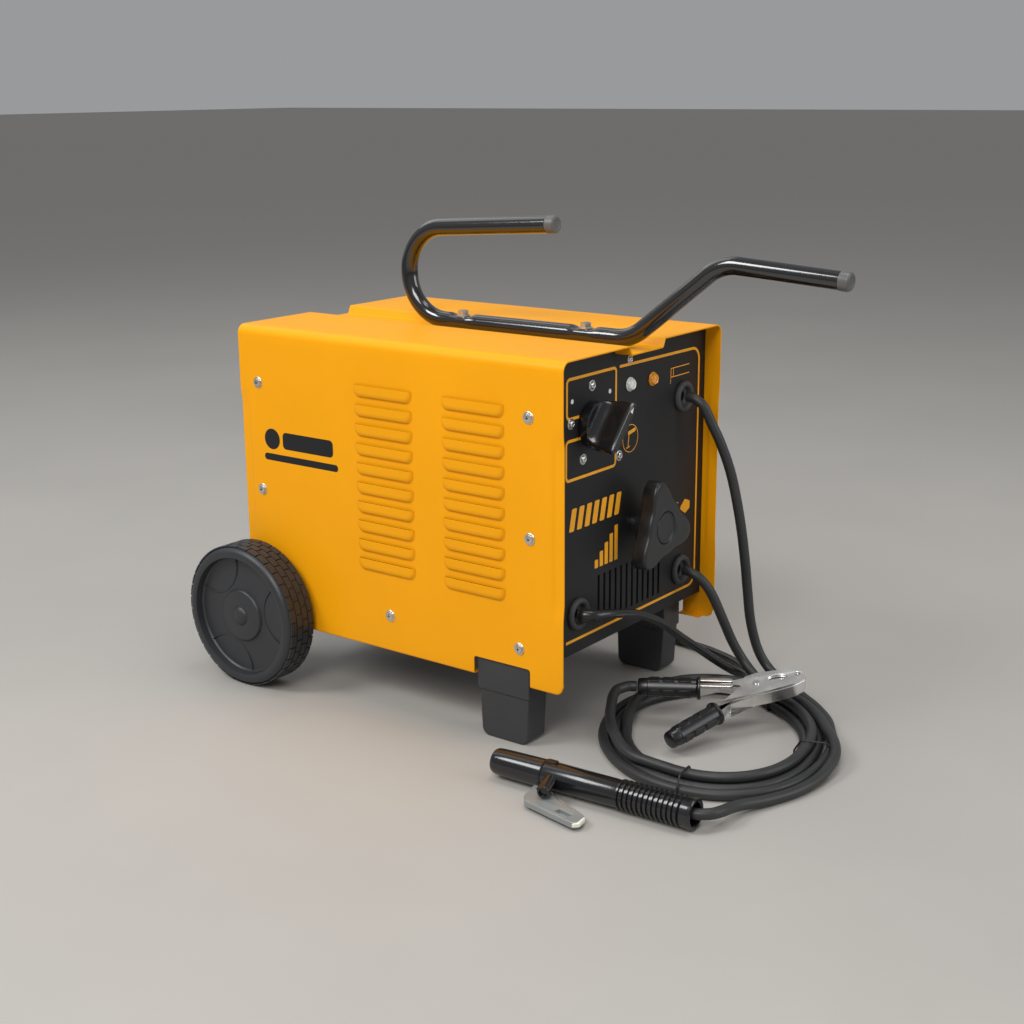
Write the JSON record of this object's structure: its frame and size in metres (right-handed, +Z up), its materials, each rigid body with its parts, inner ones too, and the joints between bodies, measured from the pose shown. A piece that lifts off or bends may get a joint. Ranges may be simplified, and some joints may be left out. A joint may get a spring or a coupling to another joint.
{
  "type": "wheeled stick welding power source",
  "caption": "Wheeled transformer welder in a folded sheet case, with carrying handle, current hand-wheel, mains lead, and welding cables with electrode holder and earth clamp.",
  "frame": {"origin": "on the floor, under the middle of the case", "axes": "+Z up; the front panel faces -Y and the rear panel +Y; the axle runs along X"},
  "size_m": [0.5306, 0.6723, 0.4749],
  "materials": {
    "case_paint": "satin warm yellow powder coat",
    "panel_paint": "satin charcoal powder coat with thin yellow printed lines",
    "pan_paint": "satin charcoal powder coat",
    "tube_paint": "gloss black",
    "wheel_plastic": "black moulded, slightly dusty",
    "foot_plastic": "black moulded",
    "knob_plastic": "black moulded, fine grain",
    "inner_plastic": "dark grey",
    "grommet_rubber": "black",
    "cable_rubber": "black, semi-matt",
    "plug_plastic": "black moulded",
    "holder_body": "glossy black moulding",
    "lever_steel": "grey, slightly worn",
    "jaw_steel": "pressed, nickel-bright with rubbed edges",
    "grip_plastic": "glossy black sleeve",
    "zinc_steel": "zinc plated",
    "core_steel": "varnished steel laminations",
    "winding": "enamelled copper winding",
    "lamp_clear": "white lens",
    "lamp_orange": "orange lens"
  },
  "bodies": {
    "root": {"axle": "zinc_steel", "axle_bracket_left": "pan_paint", "axle_bracket_right": "pan_paint", "base_pan": "pan_paint", "casing": "case_paint", "clamp_grip_upper": "grip_plastic", "clamp_jaw_upper": "jaw_steel", "clamp_pivot": "zinc_steel", "core_foot_front": "zinc_steel", "core_foot_rear": "zinc_steel", "earth_cable": "cable_rubber", "earth_grommet": "grommet_rubber", "earth_tail": "cable_rubber", "electrode_cable": "cable_rubber", "electrode_grommet": "grommet_rubber", "electrode_tail": "cable_rubber", "fan_bracket": "zinc_steel", "fan_motor": "core_steel", "front_foot_left": "foot_plastic", "front_foot_right": "foot_plastic", "front_panel": "panel_paint", "handle_bolt_front": "zinc_steel", "handle_bolt_rear": "zinc_steel", "handle_plug_front": "knob_plastic", "handle_plug_rear": "knob_plastic", "handle_tube": "tube_paint", "holder_body": "holder_body", "holder_head": "holder_body", "lead_screw_bracket": "zinc_steel", "mains_cable": "cable_rubber", "mains_cable_coil": "cable_rubber", "mains_grommet": "grommet_rubber", "mains_plug": "plug_plastic", "mains_tail": "cable_rubber", "overheat_lamp": "lamp_orange", "power_lamp": "lamp_clear", "primary_coil": "winding", "rear_panel": "panel_paint", "secondary_coil": "winding", "selector_switch_body": "inner_plastic", "shunt_guide_bottom": "zinc_steel", "shunt_guide_top": "zinc_steel", "terminal_block": "inner_plastic", "thermal_switch": "inner_plastic", "transformer_core": "core_steel", "welding_cable_coil": "cable_rubber"},
    "wheel_left": {"wheel_left": "wheel_plastic", "hub_cap_left": "wheel_plastic"},
    "wheel_right": {"wheel_right": "wheel_plastic", "hub_cap_right": "wheel_plastic"},
    "fan": {"fan_blade": "inner_plastic"},
    "selector": {"selector_knob": "knob_plastic"},
    "shunt": {"moving_shunt": "core_steel"},
    "crank": {"current_handwheel": "knob_plastic", "handwheel_cap": "knob_plastic", "lead_screw": "zinc_steel"},
    "holder_lever": {"holder_lever": "lever_steel"},
    "clamp_jaw": {"clamp_jaw_lower": "jaw_steel", "clamp_grip_lower": "grip_plastic"}
  },
  "joints": [
    {"name": "wheel_left_spin", "type": "hinge", "parent": "root", "child": "wheel_left", "pos_m": [-0.1576, 0.177, 0.0735], "axis": [1, 0, 0], "continuous": true},
    {"name": "wheel_right_spin", "type": "hinge", "parent": "root", "child": "wheel_right", "pos_m": [0.1576, 0.177, 0.0735], "axis": [1, 0, 0], "continuous": true},
    {"name": "fan_spin", "type": "hinge", "parent": "root", "child": "fan", "pos_m": [0, 0.118, 0.215], "axis": [0, 1, 0], "continuous": true},
    {"name": "selector_turn", "type": "hinge", "parent": "root", "child": "selector", "pos_m": [-0.066, -0.19, 0.298], "axis": [0, 1, 0], "range_deg": [-80, 0]},
    {"name": "shunt_slide", "type": "slide", "parent": "root", "child": "shunt", "axis": [0, 1, 0], "range_m": [-0.04, 0.03]},
    {"name": "current_crank", "type": "hinge", "parent": "root", "child": "crank", "pos_m": [0.012, -0.18, 0.188], "axis": [0, 1, 0], "range_deg": [-2720, 3620]},
    {"name": "lever_squeeze", "type": "hinge", "parent": "root", "child": "holder_lever", "pos_m": [-0.2165, -0.2383, 0.0058], "axis": [0, 0, 1], "range_deg": [0, 12], "stiffness_Nm_per_rad": 5, "springref_deg": -8.59},
    {"name": "clamp_squeeze", "type": "hinge", "parent": "root", "child": "clamp_jaw", "pos_m": [0.0335, -0.303, 0.0385], "axis": [0.2433, 0.1067, -0.9641], "range_deg": [0, 15], "stiffness_Nm_per_rad": 4, "springref_deg": -11.46}
  ],
  "couplings": [
    {"joint": "current_crank", "follows": "shunt_slide", "rad_per_m": -1570.8}
  ]
}
